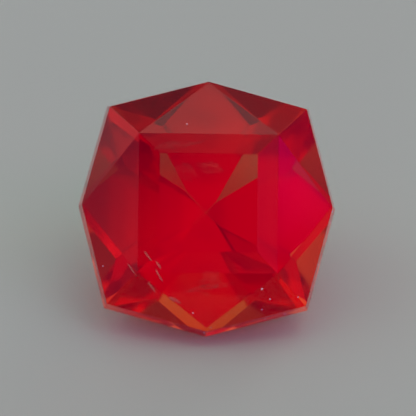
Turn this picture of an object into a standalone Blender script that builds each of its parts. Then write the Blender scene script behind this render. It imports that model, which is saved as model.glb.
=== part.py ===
"""A faceted tourmaline, one clear red stone of a square cut with softly bowed sides.

The stone is ground in its own cutting frame: the table faces +Z and the girdle's lower edge lies
at z = 0. Every facet is one flat cut, named by its slope from the table plane and by the compass
direction that it faces. The finished stone is then tipped onto one of its pavilion mains, the way
it lies on a table top.
"""
from dataclasses import dataclass
from math import atan2, cos, hypot, radians, sin, tan

import bmesh
import bpy
from mathutils import Matrix, Vector

MM = 0.001

# Outline: eight girdle facets, two on each bowed side
WIDTH = 8.0 * MM
SIDE_BOW = radians(15.0)
GIRDLE_THICKNESS = 0.68 * MM
GIRDLE_TAPER = radians(11.0)

# Crown: breaks and mains up to a square step, and a shallow step up to the table
TABLE_WIDTH = 2.97 * MM
STEP_WIDTH = 4.24 * MM
STEP_HEIGHT = 0.84 * MM
STEP_SLOPE = radians(17.0)
TIP_GAP = 0.04 * MM
FRONT_TIP_GAP = 0.11 * MM

# Pavilion: a corner facet ends this far from the culet, and no two were cut alike
MAIN_SLOPE = radians(43.0)
CORNER_SLOPE = radians(39.9)
BREAK_SLOPE = radians(50.0)
CORNER_GAPS = (0.44 * MM, 0.86 * MM, 0.60 * MM, 0.66 * MM)

# Grinding
ROUGH_SIZE = 14.0 * MM
SAME_PLACE = 0.0005 * MM

STONE_RED = (0.56, 0.008, 0.03, 1.0)
POLISH = 0.02

SIDES = [radians(angle) for angle in (0, 90, 180, 270)]
FRONT_SIDE = SIDES[3]
CORNERS = [radians(angle) for angle in (45, 135, 225, 315)]
HALF_SIDES = [side + turn * SIDE_BOW for side in SIDES for turn in (-1, 1)]


@dataclass(frozen=True)
class Facet:
    """One flat cut: the direction that it faces, and a point that it passes through."""

    facing: Vector
    through: Vector


def around(direction, radius, height=0.0):
    """Return the point at a compass direction, a radius and a height."""
    return Vector((radius * cos(direction), radius * sin(direction), height))


def facet(direction, slope, through, upward):
    """Return the cut that faces a compass direction, sloping up or down from the table plane."""
    rise = cos(slope) if upward else -cos(slope)
    return Facet(around(direction, sin(slope), rise), through)


def outline():
    """Return the girdle's radii: side points and corners, at its lower and at its upper edge."""
    side = WIDTH / 2
    corner_angle = CORNERS[0] - SIDE_BOW
    flat = side * cos(SIDE_BOW)
    upper_flat = flat - GIRDLE_THICKNESS * tan(GIRDLE_TAPER)
    return {
        "flat": flat,
        "side": side,
        "corner": flat / cos(corner_angle),
        "upper_flat": upper_flat,
        "upper_side": upper_flat / cos(SIDE_BOW),
        "upper_corner": upper_flat / cos(corner_angle),
    }


def girdle_facets(girdle):
    """Return the eight upright facets, which lean in a little towards the crown."""
    slope = radians(90) - GIRDLE_TAPER
    return [
        facet(direction, slope, around(direction, girdle["flat"]), upward=True)
        for direction in HALF_SIDES
    ]


def crown_facets(girdle):
    """Return the crown's eight breaks, four mains and four step facets, and the table."""
    step_level = GIRDLE_THICKNESS + STEP_HEIGHT
    step_half = STEP_WIDTH / 2
    table_half = TABLE_WIDTH / 2
    # A break runs from the girdle's upper edge to the step's corner
    corner_reach = hypot(step_half, step_half) * cos(CORNERS[0] - SIDE_BOW)
    break_slope = atan2(STEP_HEIGHT, girdle["upper_flat"] - corner_reach)
    cuts = [
        facet(direction, break_slope, around(direction, girdle["upper_flat"], GIRDLE_THICKNESS), True)
        for direction in HALF_SIDES
    ]
    # A main runs from the step's edge to a tip on the ridge between two breaks
    ridge_rise = tan(break_slope) * cos(SIDE_BOW)
    for direction in SIDES:
        gap = FRONT_TIP_GAP if direction == FRONT_SIDE else TIP_GAP
        drop = STEP_HEIGHT - gap * ridge_rise
        run = girdle["upper_side"] - gap - step_half
        step_edge = around(direction, step_half, step_level)
        cuts.append(facet(direction, atan2(drop, run), step_edge, upward=True))
        cuts.append(facet(direction, STEP_SLOPE, step_edge, upward=True))
    table_level = step_level + (step_half - table_half) * tan(STEP_SLOPE)
    cuts.append(Facet(Vector((0, 0, 1)), Vector((0, 0, table_level))))
    return cuts


def pavilion_facets(girdle):
    """Return the four mains, the four corner facets and the eight breaks below the girdle."""
    culet = Vector((0, 0, -girdle["side"] * tan(MAIN_SLOPE)))
    cuts = [facet(direction, MAIN_SLOPE, culet, upward=False) for direction in SIDES]
    # Two mains meet on a ridge below each corner, and the corner facet starts part way up it
    ridge_rise = tan(MAIN_SLOPE) * cos(CORNERS[0])
    cuts += [
        facet(direction, CORNER_SLOPE, culet + around(direction, gap, gap * ridge_rise), upward=False)
        for direction, gap in zip(CORNERS, CORNER_GAPS)
    ]
    cuts += [
        facet(direction, BREAK_SLOPE, around(direction, girdle["flat"]), upward=False)
        for direction in HALF_SIDES
    ]
    return cuts


def grind(rough, cut):
    """Take everything in front of a cut off the rough, and close it with one flat facet."""
    result = bmesh.ops.bisect_plane(
        rough,
        geom=rough.verts[:] + rough.edges[:] + rough.faces[:],
        dist=SAME_PLACE,
        plane_co=cut.through,
        plane_no=cut.facing,
        clear_outer=True,
    )
    rim = [item for item in result["geom_cut"] if isinstance(item, bmesh.types.BMEdge)]
    open_rim = [edge for edge in rim if edge.is_boundary]
    if open_rim:
        bmesh.ops.contextual_create(rough, geom=open_rim)


def stone_mesh(name):
    """Return the cut stone's mesh, in its cutting frame."""
    girdle = outline()
    rough = bmesh.new()
    bmesh.ops.create_cube(rough, size=ROUGH_SIZE)
    for cut in girdle_facets(girdle) + pavilion_facets(girdle) + crown_facets(girdle):
        grind(rough, cut)
    bmesh.ops.remove_doubles(rough, verts=rough.verts[:], dist=SAME_PLACE)
    bmesh.ops.recalc_face_normals(rough, faces=rough.faces[:])
    mesh = bpy.data.meshes.new(name)
    rough.to_mesh(mesh)
    rough.free()
    return mesh


def stone_material():
    """Return the plain polished red of the stone."""
    material = bpy.data.materials.new("polished_red_stone")
    material.use_nodes = True
    shader = material.node_tree.nodes["Principled BSDF"]
    shader.inputs["Base Color"].default_value = STONE_RED
    shader.inputs["Roughness"].default_value = POLISH
    shader.inputs["Metallic"].default_value = 0.0
    return material


def lay_down(stone):
    """Tip the stone onto its front main, with its box centred over the origin."""
    turn = Matrix.Rotation(MAIN_SLOPE, 4, "X")
    places = [turn @ vertex.co for vertex in stone.data.vertices]
    lowest = [min(place[axis] for place in places) for axis in range(3)]
    highest = [max(place[axis] for place in places) for axis in range(3)]
    stone.rotation_euler = (MAIN_SLOPE, 0, 0)
    stone.location = (-(lowest[0] + highest[0]) / 2, -(lowest[1] + highest[1]) / 2, -lowest[2])


def clear_scene():
    """Remove what the scene holds before the model is made."""
    for thing in list(bpy.data.objects):
        bpy.data.objects.remove(thing, do_unlink=True)


def main():
    """Model the stone."""
    clear_scene()
    stone = bpy.data.objects.new("tourmaline", stone_mesh("tourmaline"))
    stone.data.materials.append(stone_material())
    bpy.context.scene.collection.objects.link(stone)
    lay_down(stone)


main()
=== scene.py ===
"""The looks of a faceted red tourmaline that lies on one pavilion facet on a plain pale floor.

The stone is ground from a block in its own cutting frame: the table faces +Z and the girdle's lower
edge lies at z = 0. Every facet is one flat cut. The finished stone is tipped onto its front main.
Sizes are in metres, unless a docstring says millimetres.
"""

import logging
from dataclasses import dataclass
from enum import Enum
from math import atan2, cos, hypot, radians, sin, tan

import bpy
from mathutils import Matrix, Vector

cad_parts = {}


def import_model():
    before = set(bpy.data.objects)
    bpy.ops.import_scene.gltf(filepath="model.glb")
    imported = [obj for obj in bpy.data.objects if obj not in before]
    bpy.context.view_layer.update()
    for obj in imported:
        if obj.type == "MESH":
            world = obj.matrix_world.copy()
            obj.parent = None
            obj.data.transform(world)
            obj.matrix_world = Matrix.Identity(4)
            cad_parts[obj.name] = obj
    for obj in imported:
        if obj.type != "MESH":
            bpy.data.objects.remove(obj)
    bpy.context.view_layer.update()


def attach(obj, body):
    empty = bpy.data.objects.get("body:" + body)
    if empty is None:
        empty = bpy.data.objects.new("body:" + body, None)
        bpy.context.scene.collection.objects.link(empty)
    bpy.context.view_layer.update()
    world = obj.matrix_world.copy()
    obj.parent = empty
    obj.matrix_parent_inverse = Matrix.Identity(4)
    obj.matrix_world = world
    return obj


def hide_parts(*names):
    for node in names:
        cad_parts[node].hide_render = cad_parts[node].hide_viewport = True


MM = 0.001
BODY = "root"
STONE_NODE = "tourmaline"
ORIGIN = Vector((0.0, 0.0, 0.0))

STONE_WIDTH = 8.0 * MM
# The stone lies on its front main, so this slope is also the turn that lays it down
MAIN_SLOPE = radians(43.0)
SIDE_TO_CORNER_DEGREES = 45

log = logging.getLogger("stone_looks")


class Half(Enum):
    """The half of the stone that a facet belongs to, as the way its face leans."""

    CROWN = 1.0
    PAVILION = -1.0


class Side(Enum):
    """The four sides of the square outline, as compass angles in degrees."""

    RIGHT = 0
    BACK = 90
    LEFT = 180
    FRONT = 270

    def angle(self) -> float:
        """Return the side's compass angle in radians."""
        return radians(self.value)

    def corner(self) -> float:
        """Return the compass angle of the corner after this side, in radians."""
        return radians(self.value + SIDE_TO_CORNER_DEGREES)


class LaidFacet(Enum):
    """The facets that lint lies on, as the way each one faces on the laid stone."""

    UPPER_MAIN = (0.0, -0.30, 0.95)
    LOWER_MAIN = (0.0, -0.93, 0.37)
    LEFT_BREAK = (-0.58, -0.66, 0.48)
    LOWER_BREAK = (0.15, -0.97, 0.20)
    LOWER_RIGHT_RIDGE = (0.38, -0.85, 0.36)
    LOWER_LEFT_GIRDLE = (-0.25, -0.82, -0.51)
    LOWER_RIGHT_GIRDLE = (0.25, -0.82, -0.51)
    LEFT_GIRDLE = (-0.95, -0.32, -0.03)
    RIGHT_GIRDLE = (0.95, -0.32, -0.03)
    UPPER_RIGHT_GIRDLE = (0.95, 0.06, 0.31)


@dataclass(frozen=True)
class Cut:
    """One flat cut: the direction that it faces, and a point that it passes through."""

    facing: Vector
    through: Vector


@dataclass(frozen=True)
class Cloud:
    """A noise pattern: its patches per millimetre, and its octaves of finer noise."""

    per_mm: float
    detail: float


def around(direction: float, radius: float, height: float = 0.0) -> Vector:
    """Place a point round the stone's axis.

    Args:
        direction: Compass angle, in radians.
        radius: Distance from the axis.
        height: Height above the girdle's lower edge.

    Returns:
        The point.
    """
    return Vector((radius * cos(direction), radius * sin(direction), height))


def lean(direction: float, slope: float, through: Vector, half: Half) -> Cut:
    """Lay a facet at a slope from the table plane.

    Args:
        direction: Compass angle that the facet faces, in radians.
        slope: Angle between the facet and the table plane, in radians.
        through: A point on the facet.
        half: The half of the stone that the facet closes.

    Returns:
        The flat cut.
    """
    return Cut(around(direction, sin(slope), half.value * cos(slope)), through)


def clear_selection() -> None:
    """Leave object mode's selection empty, so an operator acts on the new piece alone."""
    if bpy.context.object and bpy.context.object.mode != "OBJECT":
        bpy.ops.object.mode_set(mode="OBJECT")
    bpy.ops.object.select_all(action="DESELECT")


def select_only(piece: bpy.types.Object) -> None:
    """Select one piece and make it the active one.

    Args:
        piece: The piece to select.
    """
    clear_selection()
    piece.select_set(True)
    bpy.context.view_layer.objects.active = piece


def settle(piece: bpy.types.Object) -> None:
    """Move a piece's place, turn and scale into its mesh."""
    select_only(piece)
    bpy.ops.object.transform_apply(location=True, rotation=True, scale=True)


class NodeBench:
    """A material's shader and coordinates, with short calls that add and join patterns."""

    def __init__(self, name: str) -> None:
        """Start a new material with a plain shader.

        Args:
            name: The material's name.
        """
        self.material = bpy.data.materials.new(name)
        self.material.use_nodes = True
        self.tree = self.material.node_tree
        self.tree.nodes.clear()
        self.output = self.add("ShaderNodeOutputMaterial")
        self.where = self.millimetres()
        self.shader = self.add("ShaderNodeBsdfPrincipled")
        self.join(self.shader.outputs["BSDF"], self.output.inputs["Surface"])

    def add(self, kind: str, **settings: object) -> bpy.types.Node:
        """Add a node.

        Args:
            kind: The node's type name.
            settings: Properties to set on it.

        Returns:
            The new node.
        """
        node = self.tree.nodes.new(kind)
        for key, value in settings.items():
            setattr(node, key, value)
        return node

    def join(self, start: bpy.types.NodeSocket, end: bpy.types.NodeSocket) -> None:
        """Join an output socket to an input socket."""
        self.tree.links.new(start, end)

    def dress(self, quality: str, value: bpy.types.NodeSocket) -> None:
        """Feed a value to one of the shader's inputs, which quality names."""
        self.join(value, self.shader.inputs[quality])

    def millimetres(self) -> bpy.types.NodeSocket:
        """Enlarge the piece's own coordinates, so that one pattern unit is a millimetre.

        Returns:
            The coordinate socket.
        """
        where = self.add("ShaderNodeTexCoord")
        mapping = self.add("ShaderNodeMapping")
        mapping.inputs["Scale"].default_value = (1 / MM, 1 / MM, 1 / MM)
        self.join(where.outputs["Object"], mapping.inputs["Vector"])
        return mapping.outputs["Vector"]

    def from_inside(self) -> bpy.types.NodeSocket:
        """Return 1 where a ray meets the surface from inside the piece, and 0 elsewhere."""
        return self.add("ShaderNodeNewGeometry").outputs["Backfacing"]

    def cloud(self, pattern: Cloud) -> bpy.types.NodeSocket:
        """Add a noise pattern.

        Args:
            pattern: Its size and detail.

        Returns:
            The noise value socket.
        """
        noise = self.add("ShaderNodeTexNoise")
        noise.inputs["Scale"].default_value = pattern.per_mm
        noise.inputs["Detail"].default_value = pattern.detail
        self.join(self.where, noise.inputs["Vector"])
        return noise.outputs["Fac"]

    def along(self, vector: bpy.types.NodeSocket, way: tuple) -> bpy.types.NodeSocket:
        """Measure a vector along a direction.

        Args:
            vector: The vector socket.
            way: The unit direction.

        Returns:
            The length socket, below zero where the vector points the other way.
        """
        product = self.add("ShaderNodeVectorMath", operation="DOT_PRODUCT")
        product.inputs[1].default_value = way
        self.join(vector, product.inputs[0])
        return product.outputs["Value"]

    def between(self, value: bpy.types.NodeSocket, ends: tuple) -> bpy.types.NodeSocket:
        """Stretch a value from 0..1 to a range.

        Args:
            value: The value socket.
            ends: The results at 0 and at 1.

        Returns:
            The stretched value socket.
        """
        stretch = self.add("ShaderNodeMapRange")
        stretch.inputs["To Min"].default_value, stretch.inputs["To Max"].default_value = ends
        self.join(value, stretch.inputs["Value"])
        return stretch.outputs["Result"]

    def choose(
        self, share: bpy.types.NodeSocket, first: bpy.types.NodeSocket, second: bpy.types.NodeSocket
    ) -> bpy.types.NodeSocket:
        """Choose between two values.

        Args:
            share: The share of the second value.
            first: The value at share 0.
            second: The value at share 1.

        Returns:
            The chosen value socket.
        """
        mix = self.add("ShaderNodeMix")
        self.join(share, mix.inputs["Factor"])
        self.join(first, mix.inputs["A"])
        self.join(second, mix.inputs["B"])
        return mix.outputs["Result"]

    def blend(self, share: bpy.types.NodeSocket, first: tuple, second: tuple) -> bpy.types.NodeSocket:
        """Blend two colours.

        Args:
            share: The share of the second colour.
            first: The colour at share 0.
            second: The colour at share 1.

        Returns:
            The colour socket.
        """
        tone = self.add("ShaderNodeMix", data_type="RGBA")
        tone.inputs["A"].default_value = first
        tone.inputs["B"].default_value = second
        self.join(share, tone.inputs["Factor"])
        return tone.outputs["Result"]

    def ripple(self, height: bpy.types.NodeSocket, depth: float) -> bpy.types.NodeSocket:
        """Add a bump.

        Args:
            height: The height value socket.
            depth: Depth of the bump at height 1.

        Returns:
            The bumped normal socket.
        """
        bump = self.add("ShaderNodeBump")
        bump.inputs["Strength"].default_value = 1.0
        bump.inputs["Distance"].default_value = depth
        self.join(height, bump.inputs["Height"])
        return bump.outputs["Normal"]


@dataclass(frozen=True)
class CrystalFinish:
    """Clear deep red tourmaline: orange where it is thin, crimson where it is thick."""

    name: str = "clear_red_tourmaline"
    bend: float = 1.63
    thin_colour: tuple = (0.956, 0.36, 0.0, 1.0)
    depth_of_colour: float = 700.0
    shine: tuple = (1.0, 0.5, 0.5, 1.0)
    wheel_marks: Cloud = Cloud(0.55, 2.0)
    mark_depth: float = 0.004 * MM
    table_facing: tuple = (0.0, -0.682, 0.7314)
    surface_polish: float = 0.015
    pavilion_haze: float = 0.09
    crown_haze: float = 0.34
    wisps: Cloud = Cloud(0.9, 3.0)
    waver: float = 0.3
    # Painted shade: the base colour goes from the first tint to the darker grey one towards the upper
    # left
    unshaded_tint: tuple = (1.0, 0.90, 1.0, 1.0)
    shaded_tint: tuple = (0.38, 0.36, 0.36, 1.0)
    shade_way: tuple = (-0.6, 0.0, 0.8)
    shade_start: float = 2.7
    shade_end: float = 5.4

    def material(self) -> bpy.types.Material:
        """Mix the stone's material.

        Returns:
            The material, clear through and coloured by the depth of stone that the light crosses.
        """
        bench = NodeBench(self.name)
        bench.shader.inputs["Transmission Weight"].default_value = 1.0
        bench.shader.inputs["IOR"].default_value = self.bend
        bench.shader.inputs["Specular Tint"].default_value = self.shine
        bench.dress("Roughness", self.polish(bench))
        bench.dress("Normal", bench.ripple(bench.cloud(self.wheel_marks), self.mark_depth))
        # Painted shade: a base colour that darkens towards the upper left
        bench.dress("Base Color", self.painted_shade(bench))
        body = bench.add("ShaderNodeVolumeAbsorption")
        body.inputs["Color"].default_value = self.thin_colour
        body.inputs["Density"].default_value = self.depth_of_colour
        bench.join(body.outputs["Volume"], bench.output.inputs["Volume"])
        return bench.material

    def polish(self, bench: NodeBench) -> bpy.types.NodeSocket:
        """Polish every facet, and spread the light that turns or leaves inside the stone.

        A facet that is met from inside reads turned round, so there the crown's facets are the
        ones that point away from the way the table faces.

        Args:
            bench: The node bench.

        Returns:
            The roughness socket.
        """
        facing = bench.add("ShaderNodeTexCoord").outputs["Normal"]
        crown_inside = bench.add("ShaderNodeMath", operation="LESS_THAN")
        crown_inside.inputs[1].default_value = 0.0
        bench.join(bench.along(facing, self.table_facing), crown_inside.inputs[0])
        wisps = bench.cloud(self.wisps)
        outside = self.wavering(bench, wisps, self.surface_polish)
        pavilion = self.wavering(bench, wisps, self.pavilion_haze)
        crown = self.wavering(bench, wisps, self.crown_haze)
        inside = bench.choose(crown_inside.outputs["Value"], pavilion, crown)
        return bench.choose(bench.from_inside(), outside, inside)

    def wavering(
        self, bench: NodeBench, wisps: bpy.types.NodeSocket, middle: float
    ) -> bpy.types.NodeSocket:
        """Return a roughness that wavers in wisps about a middle value."""
        return bench.between(wisps, (middle * (1 - self.waver), middle * (1 + self.waver)))

    def painted_shade(self, bench: NodeBench) -> bpy.types.NodeSocket:
        """Paint shade into the stone: its base colour darkens to a grey tint towards the upper left.

        The tint acts on light that enters, and light that is inside keeps its colour.

        Args:
            bench: The node bench.

        Returns:
            The colour socket.
        """
        depth = bench.add("ShaderNodeMapRange", interpolation_type="SMOOTHSTEP")
        depth.inputs["From Min"].default_value = self.shade_start
        depth.inputs["From Max"].default_value = self.shade_end
        bench.join(bench.along(bench.where, self.shade_way), depth.inputs["Value"])
        entering = bench.add("ShaderNodeMath", operation="SUBTRACT", use_clamp=True)
        bench.join(depth.outputs["Result"], entering.inputs[0])
        bench.join(bench.from_inside(), entering.inputs[1])
        return bench.blend(entering.outputs["Value"], self.unshaded_tint, self.shaded_tint)


@dataclass(frozen=True)
class LintAndGlintFinish:
    """Pale lint, with a painted blue-violet glint mottled into its white colour."""

    name: str = "pale_lint_and_painted_glint"
    white: tuple = (0.95, 0.93, 0.96, 1.0)
    # Painted glint: the blue-violet that the lint's pale colour is mottled towards
    painted_glint_violet: tuple = (0.55, 0.48, 1.0, 1.0)
    mottle: Cloud = Cloud(1.7, 1.0)
    painted_glint_share: tuple = (-0.6, 1.6)
    roughness: tuple = (0.3, 0.6)
    fibres: Cloud = Cloud(60.0, 2.0)
    fibre_depth: float = 0.003 * MM

    def material(self) -> bpy.types.Material:
        """Mix the dust's material.

        Returns:
            The material.
        """
        bench = NodeBench(self.name)
        mottle = bench.cloud(self.mottle)
        share = bench.between(mottle, self.painted_glint_share)
        # Painted glint: blue-violet mottled into the lint's own pale colour
        bench.dress("Base Color", bench.blend(share, self.white, self.painted_glint_violet))
        bench.dress("Roughness", bench.between(mottle, self.roughness))
        bench.dress("Normal", bench.ripple(bench.cloud(self.fibres), self.fibre_depth))
        return bench.material


@dataclass(frozen=True)
class FeatherFinish:
    """The thin film of a healed crack, milky in wisps; clear and milky are how solid it is."""

    name: str
    clear: float
    milky: float
    film: tuple = (1.0, 0.62, 0.56, 1.0)
    wisps: Cloud = Cloud(7.0, 3.0)
    roughness: tuple = (0.3, 0.6)
    relief: float = 0.01 * MM

    def material(self) -> bpy.types.Material:
        """Mix the feathers' material.

        Returns:
            The material.
        """
        bench = NodeBench(self.name)
        bench.shader.inputs["Base Color"].default_value = self.film
        wisps = bench.cloud(self.wisps)
        bench.dress("Alpha", bench.between(wisps, (self.clear, self.milky)))
        bench.dress("Roughness", bench.between(wisps, self.roughness))
        bench.dress("Normal", bench.ripple(wisps, self.relief))
        return bench.material


@dataclass(frozen=True)
class FloorFinish:
    """A pale matt floor with a faint mottle."""

    name: str = "pale_floor"
    light: tuple = (0.485, 0.550, 0.530, 1.0)
    dark: tuple = (0.450, 0.510, 0.490, 1.0)
    mottle: Cloud = Cloud(0.05, 2.0)
    roughness: tuple = (0.55, 0.7)

    def material(self) -> bpy.types.Material:
        """Mix the floor's material.

        Returns:
            The material.
        """
        bench = NodeBench(self.name)
        mottle = bench.cloud(self.mottle)
        bench.dress("Base Color", bench.blend(mottle, self.light, self.dark))
        bench.dress("Roughness", bench.between(mottle, self.roughness))
        return bench.material


@dataclass
class Stone:
    """The cut stone: its outline, crown and pavilion, and how it lies."""

    width: float = STONE_WIDTH
    side_bow: float = radians(15.0)
    girdle_thickness: float = 0.68 * MM
    girdle_taper: float = radians(11.0)
    table_width: float = 2.97 * MM
    step_width: float = 4.24 * MM
    step_height: float = 0.84 * MM
    step_slope: float = radians(17.0)
    tip_gap: float = 0.04 * MM
    front_tip_gap: float = 0.11 * MM
    main_slope: float = MAIN_SLOPE
    corner_slope: float = radians(39.9)
    break_slope: float = radians(50.0)
    corner_gaps: tuple = (0.44 * MM, 0.86 * MM, 0.60 * MM, 0.66 * MM)
    rough_size: float = 14.0 * MM
    same_place: float = 0.0005 * MM
    edge_wear: float = 0.008 * MM
    least_worn_edge: float = radians(2.0)

    def half_sides(self) -> list[float]:
        """Return the compass angles that the eight half sides face."""
        return [side.angle() + turn * self.side_bow for side in Side for turn in (-1, 1)]

    def flat(self) -> float:
        """Return the distance from the axis to a half side, at the girdle's lower edge."""
        return self.width / 2 * cos(self.side_bow)

    def upper_flat(self) -> float:
        """Return the distance from the axis to a half side, at the girdle's upper edge."""
        return self.flat() - self.girdle_thickness * tan(self.girdle_taper)

    def girdle_cuts(self) -> list[Cut]:
        """Return the eight upright facets, which lean in a little towards the crown."""
        slope = radians(90) - self.girdle_taper
        return [lean(way, slope, around(way, self.flat()), Half.CROWN) for way in self.half_sides()]

    def crown_cuts(self) -> list[Cut]:
        """Lay the crown's breaks, mains and step facets, and the table.

        Returns:
            The seventeen cuts above the girdle.
        """
        step_level = self.girdle_thickness + self.step_height
        step_half = self.step_width / 2
        # A break runs from the girdle's upper edge to the step's corner
        corner_reach = hypot(step_half, step_half) * cos(Side.RIGHT.corner() - self.side_bow)
        break_slope = atan2(self.step_height, self.upper_flat() - corner_reach)
        cuts = [
            lean(way, break_slope, around(way, self.upper_flat(), self.girdle_thickness), Half.CROWN)
            for way in self.half_sides()
        ]
        # A main runs from the step's edge to a tip on the ridge between two breaks
        ridge_rise = tan(break_slope) * cos(self.side_bow)
        for side in Side:
            gap = self.front_tip_gap if side is Side.FRONT else self.tip_gap
            drop = self.step_height - gap * ridge_rise
            run = self.upper_flat() / cos(self.side_bow) - gap - step_half
            step_edge = around(side.angle(), step_half, step_level)
            cuts.append(lean(side.angle(), atan2(drop, run), step_edge, Half.CROWN))
            cuts.append(lean(side.angle(), self.step_slope, step_edge, Half.CROWN))
        table_level = step_level + (step_half - self.table_width / 2) * tan(self.step_slope)
        cuts.append(Cut(Vector((0, 0, 1)), Vector((0, 0, table_level))))
        return cuts

    def pavilion_cuts(self) -> list[Cut]:
        """Lay the mains, the corner facets and the breaks below the girdle.

        Returns:
            The sixteen cuts below the girdle.
        """
        culet = Vector((0, 0, -self.width / 2 * tan(self.main_slope)))
        cuts = [lean(side.angle(), self.main_slope, culet, Half.PAVILION) for side in Side]
        # Two mains meet on a ridge below each corner, and the corner facet starts part way up it
        ridge_rise = tan(self.main_slope) * cos(Side.RIGHT.corner())
        for side, gap in zip(Side, self.corner_gaps):
            start = culet + around(side.corner(), gap, gap * ridge_rise)
            cuts.append(lean(side.corner(), self.corner_slope, start, Half.PAVILION))
        for way in self.half_sides():
            cuts.append(lean(way, self.break_slope, around(way, self.flat()), Half.PAVILION))
        return cuts

    def grind(self, cut: Cut) -> None:
        """Take off what stands in front of a cut, and close the stone there with one flat facet.

        Args:
            cut: The flat cut, in the cutting frame.
        """
        bpy.ops.mesh.select_all(action="SELECT")
        bpy.ops.mesh.bisect(
            plane_co=cut.through,
            plane_no=cut.facing,
            use_fill=True,
            clear_outer=True,
            threshold=self.same_place,
        )

    def wear_edges(self, stone: bpy.types.Object) -> None:
        """Round the facet edges by the few thousandths of a millimetre that polishing takes off.

        Args:
            stone: The ground stone.
        """
        wear = stone.modifiers.new("polished_edges", "BEVEL")
        wear.width = self.edge_wear
        wear.segments = 1
        wear.limit_method = "ANGLE"
        wear.angle_limit = self.least_worn_edge
        wear.use_clamp_overlap = True
        select_only(stone)
        bpy.ops.object.modifier_apply(modifier=wear.name)

    def lay_down(self, stone: bpy.types.Object) -> None:
        """Tip the stone onto its front main, with the CAD stone's box centred over the origin.

        Args:
            stone: The ground stone, in the cutting frame.
        """
        turn = Matrix.Rotation(self.main_slope, 4, "X")
        places = [turn @ vertex.co for vertex in stone.data.vertices]
        low = [min(place[axis] for place in places) for axis in range(3)]
        high = [max(place[axis] for place in places) for axis in range(3)]
        stone.rotation_euler = (self.main_slope, 0.0, 0.0)
        stone.location = (-(low[0] + high[0]) / 2, -(low[1] + high[1]) / 2, -low[2])
        settle(stone)

    def build(self) -> bpy.types.Object:
        """Grind the stone from a block and lay it down.

        Returns:
            The stone, dressed and in place.
        """
        clear_selection()
        bpy.ops.mesh.primitive_cube_add(size=self.rough_size, location=ORIGIN)
        stone = bpy.context.object
        stone.name = "polished_stone"
        bpy.ops.object.mode_set(mode="EDIT")
        for cut in self.girdle_cuts() + self.pavilion_cuts() + self.crown_cuts():
            self.grind(cut)
        bpy.ops.mesh.select_all(action="SELECT")
        bpy.ops.mesh.remove_doubles(threshold=self.same_place)
        bpy.ops.mesh.normals_make_consistent(inside=False)
        bpy.ops.object.mode_set(mode="OBJECT")
        self.lay_down(stone)
        self.wear_edges(stone)
        stone.data.materials.append(CrystalFinish().material())
        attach(stone, BODY)
        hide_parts(STONE_NODE)
        return stone


@dataclass(frozen=True)
class Flake:
    """One small flat flake with a ragged rim, shaped from a ball.

    Its place is its middle, its turn is that of its length about the way it faces, in radians,
    and its size is its length, width and thickness. Ragged says how far a point of the ball may
    stray, and seed picks the stray.
    """

    place: Vector
    facing: Vector
    turn: float
    size: Vector
    ragged: float
    seed: int
    evenness: float = 0.6

    def build(self) -> bpy.types.Object:
        """Shape the flake and put it in its place.

        Returns:
            The flake, with its turn and place still on the object.
        """
        clear_selection()
        # A ball one unit across, so that the resize gives the flake its full size
        bpy.ops.mesh.primitive_ico_sphere_add(subdivisions=2, radius=0.5, location=ORIGIN)
        piece = bpy.context.object
        bpy.ops.object.mode_set(mode="EDIT")
        bpy.ops.mesh.select_all(action="SELECT")
        bpy.ops.transform.vertex_random(
            offset=self.ragged, uniform=self.evenness, normal=0.0, seed=self.seed
        )
        bpy.ops.transform.resize(value=self.size, center_override=ORIGIN)
        bpy.ops.object.mode_set(mode="OBJECT")
        stand = self.facing.to_track_quat("Z", "Y").to_matrix()
        piece.rotation_euler = (stand @ Matrix.Rotation(self.turn, 3, "Z")).to_euler()
        piece.location = self.place
        return piece


def join_flakes(flakes: list[Flake], name: str) -> bpy.types.Object:
    """Build flakes and join them into one piece with its place in its mesh.

    Args:
        flakes: The flakes.
        name: The piece's name.

    Returns:
        The joined piece.
    """
    parts = [flake.build() for flake in flakes]
    clear_selection()
    for part in parts:
        part.select_set(True)
    bpy.context.view_layer.objects.active = parts[0]
    bpy.ops.object.join()
    piece = bpy.context.object
    piece.name = name
    settle(piece)
    return piece


@dataclass(frozen=True)
class Speck:
    """One grain of lint: its place and width in millimetres, and the facet that it lies on."""

    place: tuple
    facet: LaidFacet
    width: float


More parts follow.
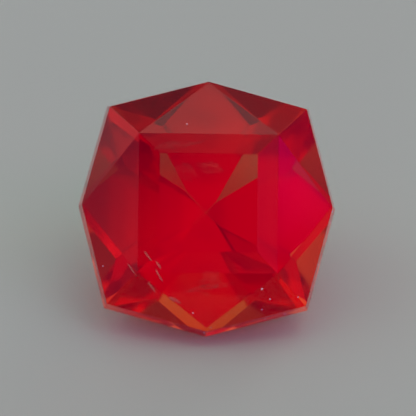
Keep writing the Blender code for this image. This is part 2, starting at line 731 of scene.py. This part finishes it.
@dataclass
class Dust:
    """The few grains of lint that lie on the lower facets and along the girdle."""

    narrowness: float = 0.7
    flatness: float = 0.6
    ragged: float = 0.12
    specks: tuple = (
        Speck((-0.667, 1.023, 5.389), LaidFacet.UPPER_MAIN, 0.050),
        Speck((1.663, -2.575, 1.912), LaidFacet.LOWER_BREAK, 0.075),
        Speck((1.924, -2.612, 1.528), LaidFacet.LOWER_BREAK, 0.060),
        Speck((1.692, -2.719, 1.181), LaidFacet.LOWER_BREAK, 0.055),
        Speck((2.786, -2.479, 1.497), LaidFacet.LOWER_RIGHT_RIDGE, 0.045),
        Speck((-0.415, -2.897, 1.176), LaidFacet.LOWER_MAIN, 0.055),
        Speck((0.144, -3.040, 0.703), LaidFacet.LOWER_BREAK, 0.060),
        Speck((-0.063, -2.989, 0.430), LaidFacet.LOWER_LEFT_GIRDLE, 0.065),
        Speck((2.417, -2.445, 0.725), LaidFacet.LOWER_RIGHT_GIRDLE, 0.085),
        Speck((1.816, -2.564, 0.618), LaidFacet.LOWER_RIGHT_GIRDLE, 0.050),
        Speck((-3.628, -0.845, 1.897), LaidFacet.LEFT_GIRDLE, 0.050),
        Speck((-3.177, -1.758, 2.021), LaidFacet.LEFT_BREAK, 0.045),
        Speck((3.847, -0.314, 3.083), LaidFacet.RIGHT_GIRDLE, 0.070),
        Speck((3.836, -0.299, 2.612), LaidFacet.RIGHT_GIRDLE, 0.055),
        Speck((3.452, -1.364, 1.810), LaidFacet.RIGHT_GIRDLE, 0.055),
        Speck((3.387, 1.511, 4.351), LaidFacet.UPPER_RIGHT_GIRDLE, 0.055),
        Speck((3.348, -1.605, 1.128), LaidFacet.RIGHT_GIRDLE, 0.045),
    )

    def grain(self, number: int, speck: Speck) -> Flake:
        """Shape one grain, turned by its number so that no two lie alike.

        Args:
            number: Its place in the row of specks.
            speck: Where it lies and how wide it is.

        Returns:
            The flake to build.
        """
        width = speck.width * MM
        size = Vector((width, width * self.narrowness, width * self.flatness))
        facing = Vector(speck.facet.value)
        return Flake(Vector(speck.place) * MM, facing, float(number), size, self.ragged, number)

    def build(self) -> bpy.types.Object:
        """Lay the grains on the stone.

        Returns:
            The dust, dressed and in place.
        """
        grains = [self.grain(number, speck) for number, speck in enumerate(self.specks)]
        dust = join_flakes(grains, "lint_specks")
        dust.data.materials.append(LintAndGlintFinish().material())
        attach(dust, BODY)
        return dust


@dataclass(frozen=True)
class Crack:
    """One healed crack: its middle, size in millimetres, turn in degrees and the way it faces."""

    place: tuple
    turn: float
    length: float
    width: float
    facing: Vector = Vector((0.0, -0.75, 0.66))


@dataclass
class Feathers:
    """A group of thin milky cracks inside the stone; thickness is in millimetres."""

    name: str
    finish: FeatherFinish
    cracks: tuple
    thickness: float = 0.012
    ragged: float = 0.10

    def film(self, number: int, crack: Crack) -> Flake:
        """Shape the thin film of one crack.

        Args:
            number: Its place in the row of cracks.
            crack: Where it lies and how large it is.

        Returns:
            The flake to build.
        """
        size = Vector((crack.length, crack.width, self.thickness)) * MM
        place = Vector(crack.place) * MM
        return Flake(place, crack.facing, radians(crack.turn), size, self.ragged, number)

    def build(self) -> bpy.types.Object:
        """Set the cracks inside the stone.

        Returns:
            The feathers, dressed and in place.
        """
        films = [self.film(number, crack) for number, crack in enumerate(self.cracks)]
        feathers = join_flakes(films, self.name)
        bpy.ops.object.shade_smooth()
        feathers.data.materials.append(self.finish.material())
        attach(feathers, BODY)
        return feathers


CORNER_FEATHERS = Feathers(
    "corner_feathers",
    FeatherFinish(name="milky_feather", clear=0.15, milky=0.75),
    (
        Crack((-1.788, -1.919, 2.629), -53.0, 0.34, 0.07),
        Crack((-1.480, -2.090, 2.441), -57.0, 0.30, 0.07),
        Crack((-2.242, -2.048, 2.218), -52.0, 0.42, 0.06),
        Crack((-1.461, -2.235, 2.147), -60.0, 0.46, 0.07),
        Crack((-1.660, -2.341, 1.797), -58.0, 0.42, 0.08),
        Crack((-0.963, -2.530, 1.417), -30.0, 0.42, 0.10),
    ),
)
FINE_VEILS = Feathers(
    "fine_veils",
    # Clear is below zero, so that wide gaps between the wisps are fully clear
    FeatherFinish(name="fine_veil", clear=-0.12, milky=0.24),
    (
        Crack((-0.686, 0.068, 4.283), -28.0, 0.75, 0.42),
        Crack((0.069, 0.165, 4.372), -12.0, 0.72, 0.34),
        Crack((0.090, -2.085, 1.877), 4.0, 0.62, 0.56, Vector((0.0, -0.68, 0.73))),
        Crack((0.050, -2.242, 1.730), 9.0, 1.50, 0.18),
        Crack((-0.350, -2.300, 1.560), -8.0, 0.80, 0.16),
        Crack((-0.950, 0.562, 4.886), 8.0, 1.30, 0.22),
    ),
    ragged=0.24,
)


@dataclass(frozen=True)
class SoftPatch:
    """One soft round patch of studio light, far from the stone.

    Azimuth is counted from the front towards the right and elevation from the floor, in degrees.
    The light is full inside the core and fades to nothing at the spread, also in degrees.
    """

    azimuth: float
    elevation: float
    light: tuple
    spread: float = 25.0
    core: float = 5.0

    def direction(self) -> Vector:
        """Return the unit direction from the stone to the patch."""
        turn, rise = radians(self.azimuth), radians(self.elevation)
        return Vector((sin(turn) * cos(rise), -cos(turn) * cos(rise), sin(rise)))


@dataclass
class Studio:
    """The floor and the soft light that fills the room."""

    floor_size: float = 0.9
    floor_gap: float = 0.01 * MM
    even_light: tuple = (0.22, 0.16, 0.22)
    patches: tuple = (
        SoftPatch(90, 1, (0.40, 0.26, 0.27)),
        SoftPatch(-132, 2, (1.10, 1.10, 1.10)),
        SoftPatch(143, 4, (3.60, 3.60, 3.50)),
        SoftPatch(-80, 5, (0.05, 0.14, 0.20)),
        SoftPatch(-165, 8, (0.88, 0.91, 0.80)),
        SoftPatch(-27, 9, (0.60, 0.50, 0.50)),
        SoftPatch(25, 13, (0.36, 0.28, 0.26)),
        SoftPatch(-40, 25, (0.26, 0.12, 0.10)),
        SoftPatch(98, 27, (0.25, 0.05, 0.15)),
        SoftPatch(-125, 28, (0.14, 0.26, 0.22)),
        SoftPatch(-72, 31, (0.29, 0.30, 0.36), spread=23.0),
        SoftPatch(118, 38, (0.30, 0.32, 0.20)),
        SoftPatch(-105, 39, (0.71, 1.02, 0.97)),
        SoftPatch(85, 46, (0.11, 0.28, 0.50)),
        SoftPatch(5, 19, (0.44, 0.06, 0.10)),
        SoftPatch(0, 50, (0.49, 0.05, 0.12)),
        SoftPatch(138, 51, (0.42, 0.20, 0.10)),
        SoftPatch(53, 55, (0.60, 0.20, 0.25)),
        SoftPatch(34, 41, (0.06, 0.02, 0.06)),
        SoftPatch(-170, 58, (0.00, 0.24, 0.12)),
        SoftPatch(105, 62, (0.68, 0.78, 0.50)),
        SoftPatch(-117, 65, (0.51, 0.62, 0.30)),
        SoftPatch(158, 71, (0.20, 0.98, 0.85)),
        SoftPatch(73, 33, (2.40, 0.00, 0.85), spread=8.0, core=0.5),
        SoftPatch(62, 40, (0.30, 0.00, 0.22), spread=16.0, core=1.0),
    )

    def floor(self) -> bpy.types.Object:
        """Lay the floor a hair below the stone, so that light still turns at the resting facet.

        Returns:
            The floor.
        """
        clear_selection()
        bpy.ops.mesh.primitive_plane_add(size=self.floor_size, location=(0.0, 0.0, -self.floor_gap))
        floor = bpy.context.object
        floor.name = "pale_floor"
        settle(floor)
        floor.data.materials.append(FloorFinish().material())
        return floor

    def room_light(self) -> bpy.types.World:
        """Fill the room with even light and the soft patches.

        Returns:
            The world that holds the light.
        """
        world = bpy.data.worlds.new("soft_room")
        bpy.context.scene.world = world
        world.use_nodes = True
        tree = world.node_tree
        where = tree.nodes.new("ShaderNodeTexCoord")
        total = self.even_light
        for patch in self.patches:
            facing = tree.nodes.new("ShaderNodeVectorMath")
            facing.operation = "DOT_PRODUCT"
            facing.inputs[1].default_value = patch.direction()
            tree.links.new(where.outputs["Generated"], facing.inputs[0])
            fade = tree.nodes.new("ShaderNodeMapRange")
            fade.interpolation_type = "SMOOTHSTEP"
            fade.inputs["From Min"].default_value = cos(radians(patch.spread))
            fade.inputs["From Max"].default_value = cos(radians(patch.core))
            tree.links.new(facing.outputs["Value"], fade.inputs["Value"])
            add = tree.nodes.new("ShaderNodeVectorMath")
            add.operation = "MULTIPLY_ADD"
            add.inputs[1].default_value = patch.light
            tree.links.new(fade.outputs["Result"], add.inputs[0])
            if isinstance(total, tuple):
                add.inputs[2].default_value = total
            else:
                tree.links.new(total, add.inputs[2])
            total = add.outputs["Vector"]
        tree.links.new(total, tree.nodes["Background"].inputs["Color"])
        return world


@dataclass
class ViewPoint:
    """The camera, over the table and a little to the left of its axis and below it.

    Distance and aim are counted in the cutting frame, from the girdle's upper edge, in sight units,
    260 of which make the stone's width. Lift is that edge's height. The stone's turn and move are
    those that lay it down.
    """

    sight_unit: float = STONE_WIDTH / 260.0
    distance: float = 1757.3
    aim: Vector = Vector((0.537, -2.211, 0.0))
    lift: Vector = Vector((0.0, 0.0, 21.97))
    stone_turn: float = MAIN_SLOPE
    stone_move: Vector = Vector((0.0, 0.1818 * MM, 2.728 * MM))
    sideways: float = radians(-1.386)
    downwards: float = radians(-5.603)
    roll: float = radians(-0.577)
    lens: float = 152.07
    nearest: float = 1.0 * MM
    farthest: float = 10.0

    def turned(self) -> Matrix:
        """Return the turn that lays the stone down."""
        return Matrix.Rotation(self.stone_turn, 4, "X")

    def world(self, point: Vector) -> Vector:
        """Return a point of the cutting frame, in sight units, in world metres."""
        return self.turned() @ ((point + self.lift) * self.sight_unit) + self.stone_move

    def place(self) -> Vector:
        """Step back from the stone along the line of sight.

        Returns:
            The camera's place in world metres.
        """
        sight = Vector((sin(self.sideways), sin(self.downwards), 0.0))
        sight.z = (1.0 - sight.x ** 2 - sight.y ** 2) ** 0.5
        return self.world(sight * self.distance)

    def build(self) -> bpy.types.Object:
        """Set the camera up.

        Returns:
            The camera.
        """
        clear_selection()
        place = self.place()
        bpy.ops.object.camera_add(location=place)
        camera = bpy.context.object
        camera.name = "stone_camera"
        up = self.turned().to_3x3() @ Vector((sin(self.roll), cos(self.roll), 0.0))
        back = (place - self.world(self.aim)).normalized()
        right = up.cross(back).normalized()
        over = back.cross(right)
        camera.rotation_euler = Matrix((right, over, back)).transposed().to_euler()
        camera.data.lens = self.lens
        camera.data.clip_start = self.nearest
        camera.data.clip_end = self.farthest
        bpy.context.scene.camera = camera
        return camera


@dataclass(frozen=True)
class Film:
    """How long light is followed inside the stone, and how the picture is developed.

    Turns is how often light may turn. Brightest echo holds back stray sparks of light that has
    turned, and black is the level of red, green and blue that comes out black.
    """

    turns: int = 24
    brightest_echo: float = 3.0
    black: tuple = (0.0, 0.008, 0.0)

    def follow_light(self) -> None:
        """Let light turn often enough inside the stone to find its way out."""
        cycles = bpy.context.scene.cycles
        cycles.max_bounces = self.turns
        cycles.transmission_bounces = self.turns
        cycles.glossy_bounces = self.turns
        cycles.volume_bounces = 0
        cycles.sample_clamp_indirect = self.brightest_echo
        cycles.denoising_prefilter = "ACCURATE"
        cycles.denoising_input_passes = "RGB"

    def develop(self) -> None:
        """Show the light as it is, but for the black level."""
        view = bpy.context.scene.view_settings
        view.view_transform = "Standard"
        view.use_curve_mapping = True
        view.curve_mapping.black_level = self.black
        view.curve_mapping.update()


def main() -> None:
    """Build the stone and the studio in order."""
    logging.basicConfig(level=logging.INFO, format="%(name)s: %(message)s")
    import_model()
    for maker in (Stone(), Dust(), CORNER_FEATHERS, FINE_VEILS):
        piece = maker.build()
        log.info("%s: %d faces", piece.name, len(piece.data.polygons))
    studio = Studio()
    log.info("floor: %s", studio.floor().name)
    log.info("light: %s", studio.room_light().name)
    log.info("camera: %s", ViewPoint().build().name)
    film = Film()
    film.follow_light()
    film.develop()


if __name__ == "__main__":
    main()
